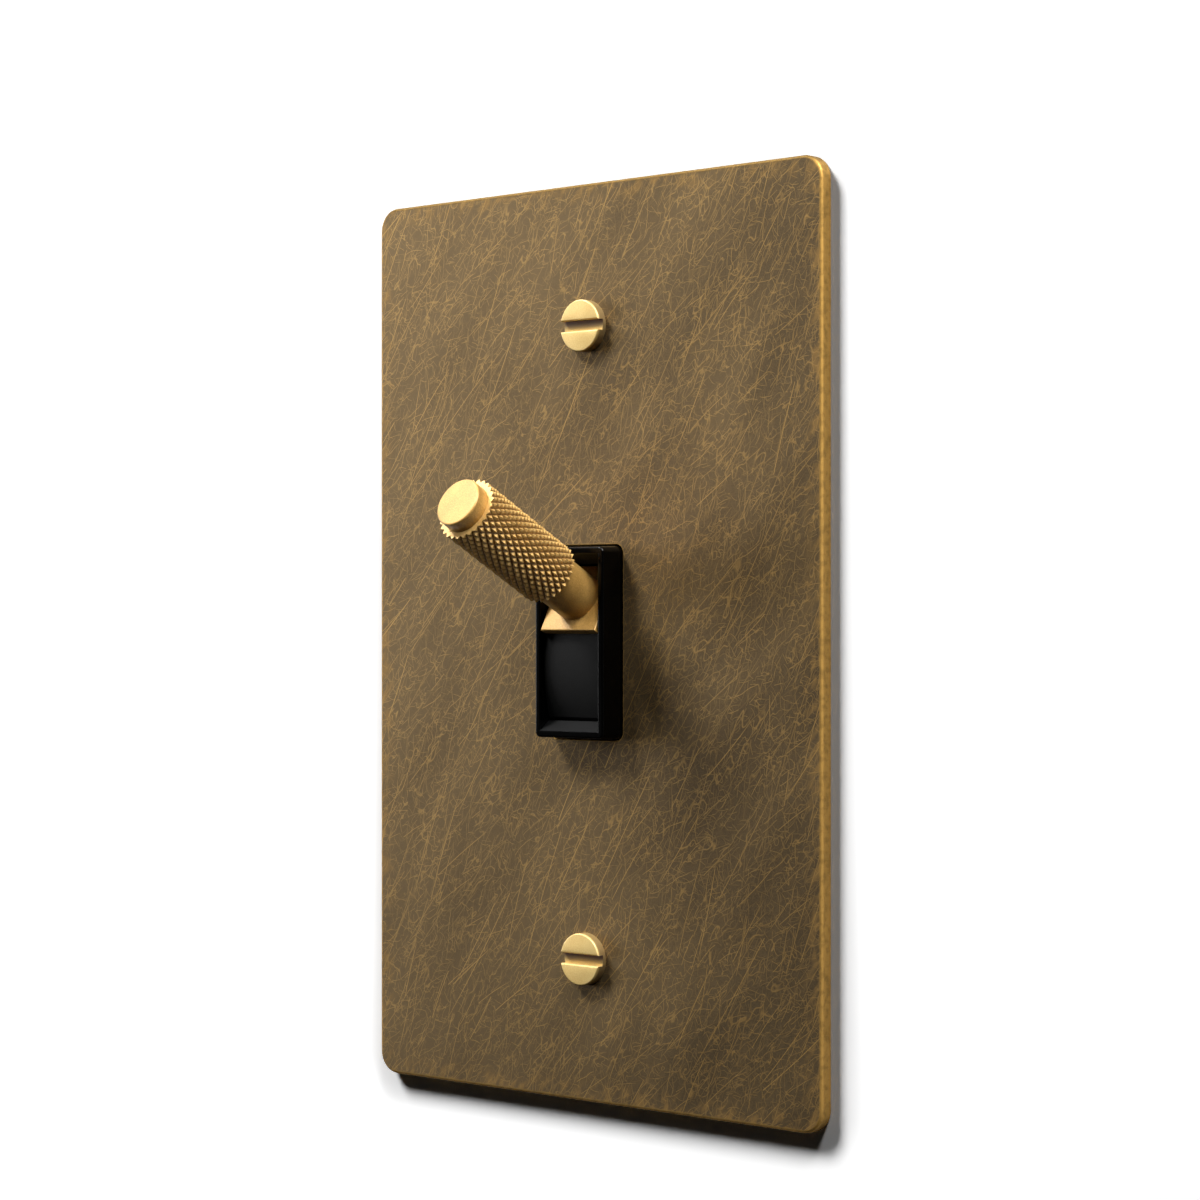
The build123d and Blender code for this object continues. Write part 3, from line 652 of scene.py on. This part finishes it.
def face_screws():
    """Both plate screws in one mesh, at the place and size of their CAD solids."""
    low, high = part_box("face_screws")
    radius = (high.x - low.x) / 2
    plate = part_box("faceplate")[0].y
    half = head_half(radius, low.y)
    parts = [half, half * np.array([-1, 1, -1]), screw_body(radius, low.y + SLOT_DEPTH, plate, high.y)]
    points = np.empty((0, 3))
    faces = []
    for z in (low.z + radius, high.z - radius):
        for loops in parts:
            more, skin = stacked(loops + np.array([0.0, 0.0, z]), len(points))
            points = np.vstack([points, more])
            faces += skin
    # the dark colour is painted shade in the slots, darkest under their upper side, and it also darkens a
    # band on the heads' sides
    turned_brass = satin_brass("turned_brass", 0.35, 0.52, colour(244, 206, 123), colour(255, 224, 145),
                               slot_shade_and_dark_side, colour(98, 62, 18))
    screws = mesh_piece("plate_screws", points, faces, turned_brass, 35)
    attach(screws, "body")
    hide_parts("face_screws")


face_screws()

# The stage: a white wall that is open behind the plate, so that light reaches the plate's back, and
# a pale floor well below it. Soft lamps stand to the left and above, two stand behind for the
# mechanism, and the camera is at the photograph's place.

WALL_SPREAD = 31
WALL_OVERLAP = 0.0004
WALL_GAP = 0.0001
WALL_GLOW = 0.6
WALL_GLOW_REACH = (-1.5, -6.0)
STAGE_FADE = (200.0, 450.0)
FLOOR_DROP = 0.25
FLOOR_HALF = 1.2
FLOOR_DEPTH = 2.4
SKY_IN_METAL = 0.05
SKY_LIGHT = 0.004


def wall_points():
    """A wide sheet with a hole just inside the plate's outline: the hole's loop enlarged, then the loop.

    A point of the loop is the centre of its quarter's corner, moved outwards by the corner's radius.
    """
    turn = np.radians(np.arange(2.5, 360, 5))
    outwards = np.stack([np.cos(turn), np.sin(turn)], -1)
    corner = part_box("faceplate")[1]
    radius = PLATE_CORNER / 1000
    centres = np.sign(outwards) * (np.array([corner.x, corner.z]) - radius)
    loop = centres + (radius - WALL_OVERLAP) * outwards
    return np.insert(np.vstack([loop * WALL_SPREAD, loop]), 1, WALL_GAP, axis=1)


def white_paint(name, to_camera, in_metal, in_shade):
    """White paint, of one brightness to the camera, one in reflections and one to stray light.

    To the camera it brightens away from the plate to a plain white. From behind, and far away, the camera
    sees through it to the white world.
    """
    material, shader, place = new_finish(name)
    seen = place.add("LightPath", {}, {}, "Is Camera Ray")
    x, _, z = place.split()
    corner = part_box("faceplate")[1]
    away = inside(x, z, 1000 * corner.x, 1000 * corner.z, PLATE_CORNER).between(*WALL_GLOW_REACH)
    shade = place.noise(60.0, 2.0).between(0.2, 0.8) * 0.01 + 0.99
    mirrored = seen.also("Is Glossy Ray") * (in_metal - in_shade)
    bright = shade * (seen * (to_camera - in_shade + WALL_GLOW * away) + mirrored + in_shade)
    grey = bright.add("CombineColor", {}, {0: bright, 1: bright, 2: bright})
    paint = grey.add("BsdfDiffuse", {}, {0: grey})
    far = place.vector("LENGTH", output=1).between(*STAGE_FADE)
    clear = seen * seen.add("NewGeometry", {}, {}, "Backfacing").highest(far)
    mixed = seen.add("MixShader", {}, {0: clear, 1: paint, 2: seen.add("BsdfTransparent")})
    nodes = material.node_tree.nodes
    material.node_tree.links.new(mixed.socket, nodes["Material Output"].inputs[0])
    nodes.remove(shader)
    return material


def sheet(name, points, quads, paint):
    """A flat stage sheet."""
    mesh = bpy.data.meshes.new(name)
    mesh.from_pydata(points.tolist(), [], quads)
    mesh.materials.append(paint)
    piece = bpy.data.objects.new(name, mesh)
    bpy.context.scene.collection.objects.link(piece)


wall = wall_points()
sheet("wall", wall, ring_quads(2, len(wall) // 2, False), white_paint("white_wall", 1.45, 1.45, 0.3))
floor = np.array([[-FLOOR_HALF, -FLOOR_DEPTH, -FLOOR_DROP], [FLOOR_HALF, -FLOOR_DEPTH, -FLOOR_DROP],
                  [FLOOR_HALF, 0, -FLOOR_DROP], [-FLOOR_HALF, 0, -FLOOR_DROP]])
sheet("floor", floor, [[0, 1, 2, 3]], white_paint("pale_floor", 0.9, 0.02, 0.003))


def softbox(name, towards, distance, width, height, brightness, polished=False):
    """An area lamp that faces the origin, of a brightness per area.

    The light on the wall and on dull surfaces comes from the plain lamps. Polished ones are cards that
    show in shiny surfaces only, and are dark to light that has left a dull surface.
    """
    lamp = bpy.data.lights.new(name, "AREA")
    lamp.shape = "RECTANGLE"
    lamp.size = width
    lamp.size_y = height
    lamp.energy = brightness * math.pi * width * height
    box = bpy.data.objects.new(name, lamp)
    direction = np.array(towards, float)
    box.location = (direction * distance / np.linalg.norm(direction)).tolist()
    box.rotation_euler = box.location.to_track_quat("Z", "Y").to_euler()
    bpy.context.scene.collection.objects.link(box)
    if polished:
        box.visible_diffuse = False
        lamp.use_nodes = True
        first = Wire(lamp.node_tree).add("LightPath", {}, {}, "Diffuse Depth").math("LESS_THAN", 0.5)
        lamp.node_tree.links.new(first.socket, lamp.node_tree.nodes["Emission"].inputs["Strength"])


softbox("key_lamp", (-1.0, -1.0, 1.6), 0.9, 0.24, 0.24, 52.0)
softbox("top_lamp", (1.1, -0.9, 2.2), 1.1, 0.18, 0.18, 32.0)
softbox("left_card", (-0.92, -0.36, 0.1), 1.0, 0.3, 0.4, 9.0, True)
softbox("right_card", (0.6, -0.25, 0.75), 1.0, 0.6, 0.6, 26.0, True)
softbox("overhead_card", (-0.35, -0.25, 0.9), 1.0, 0.9, 0.9, 1.0, True)
softbox("back_lamp_left", (-0.9, 1.0, 0.9), 1.1, 0.6, 0.6, 6.0)
softbox("back_lamp_right", (0.9, 1.0, 0.6), 1.1, 0.6, 0.6, 4.0)
softbox("back_card", (-0.3, 1.0, 0.8), 1.1, 0.9, 0.9, 3.0, True)

world = bpy.data.worlds.new("studio")
world.use_nodes = True
sky = world.node_tree.nodes["Background"]
path = Wire(world.node_tree).add("LightPath", {}, {}, "Is Camera Ray")
bright = path.highest(path.also("Is Glossy Ray") * SKY_IN_METAL).highest(SKY_LIGHT)
world.node_tree.links.new(bright.socket, sky.inputs["Strength"])
sky.inputs["Color"].default_value = (1.0, 1.0, 1.0, 1.0)
bpy.context.scene.world = world

CAMERA_TURN = 41.8
CAMERA_DISTANCE = 0.3875
CAMERA_STEP = 0.00178
CAMERA_HEIGHT = 0.00335
CAMERA_LENS = 88.2
CAMERA_SHIFT = 0.0142

turn = math.radians(CAMERA_TURN)
onward = np.array([-math.sin(turn), math.cos(turn), 0.0])
rightward = np.array([math.cos(turn), math.sin(turn), 0.0])
plate_front = np.array([0.0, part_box("faceplate")[0].y, CAMERA_HEIGHT])
lens = bpy.data.cameras.new("camera")
lens.lens = CAMERA_LENS
lens.shift_y = CAMERA_SHIFT
lens.clip_start = 0.01
camera = bpy.data.objects.new("camera", lens)
camera.location = (plate_front - CAMERA_DISTANCE * onward + CAMERA_STEP * rightward).tolist()
camera.rotation_euler = (math.pi / 2, 0.0, turn)
bpy.context.scene.collection.objects.link(camera)
bpy.context.scene.camera = camera
bpy.context.scene.view_settings.view_transform = "Standard"
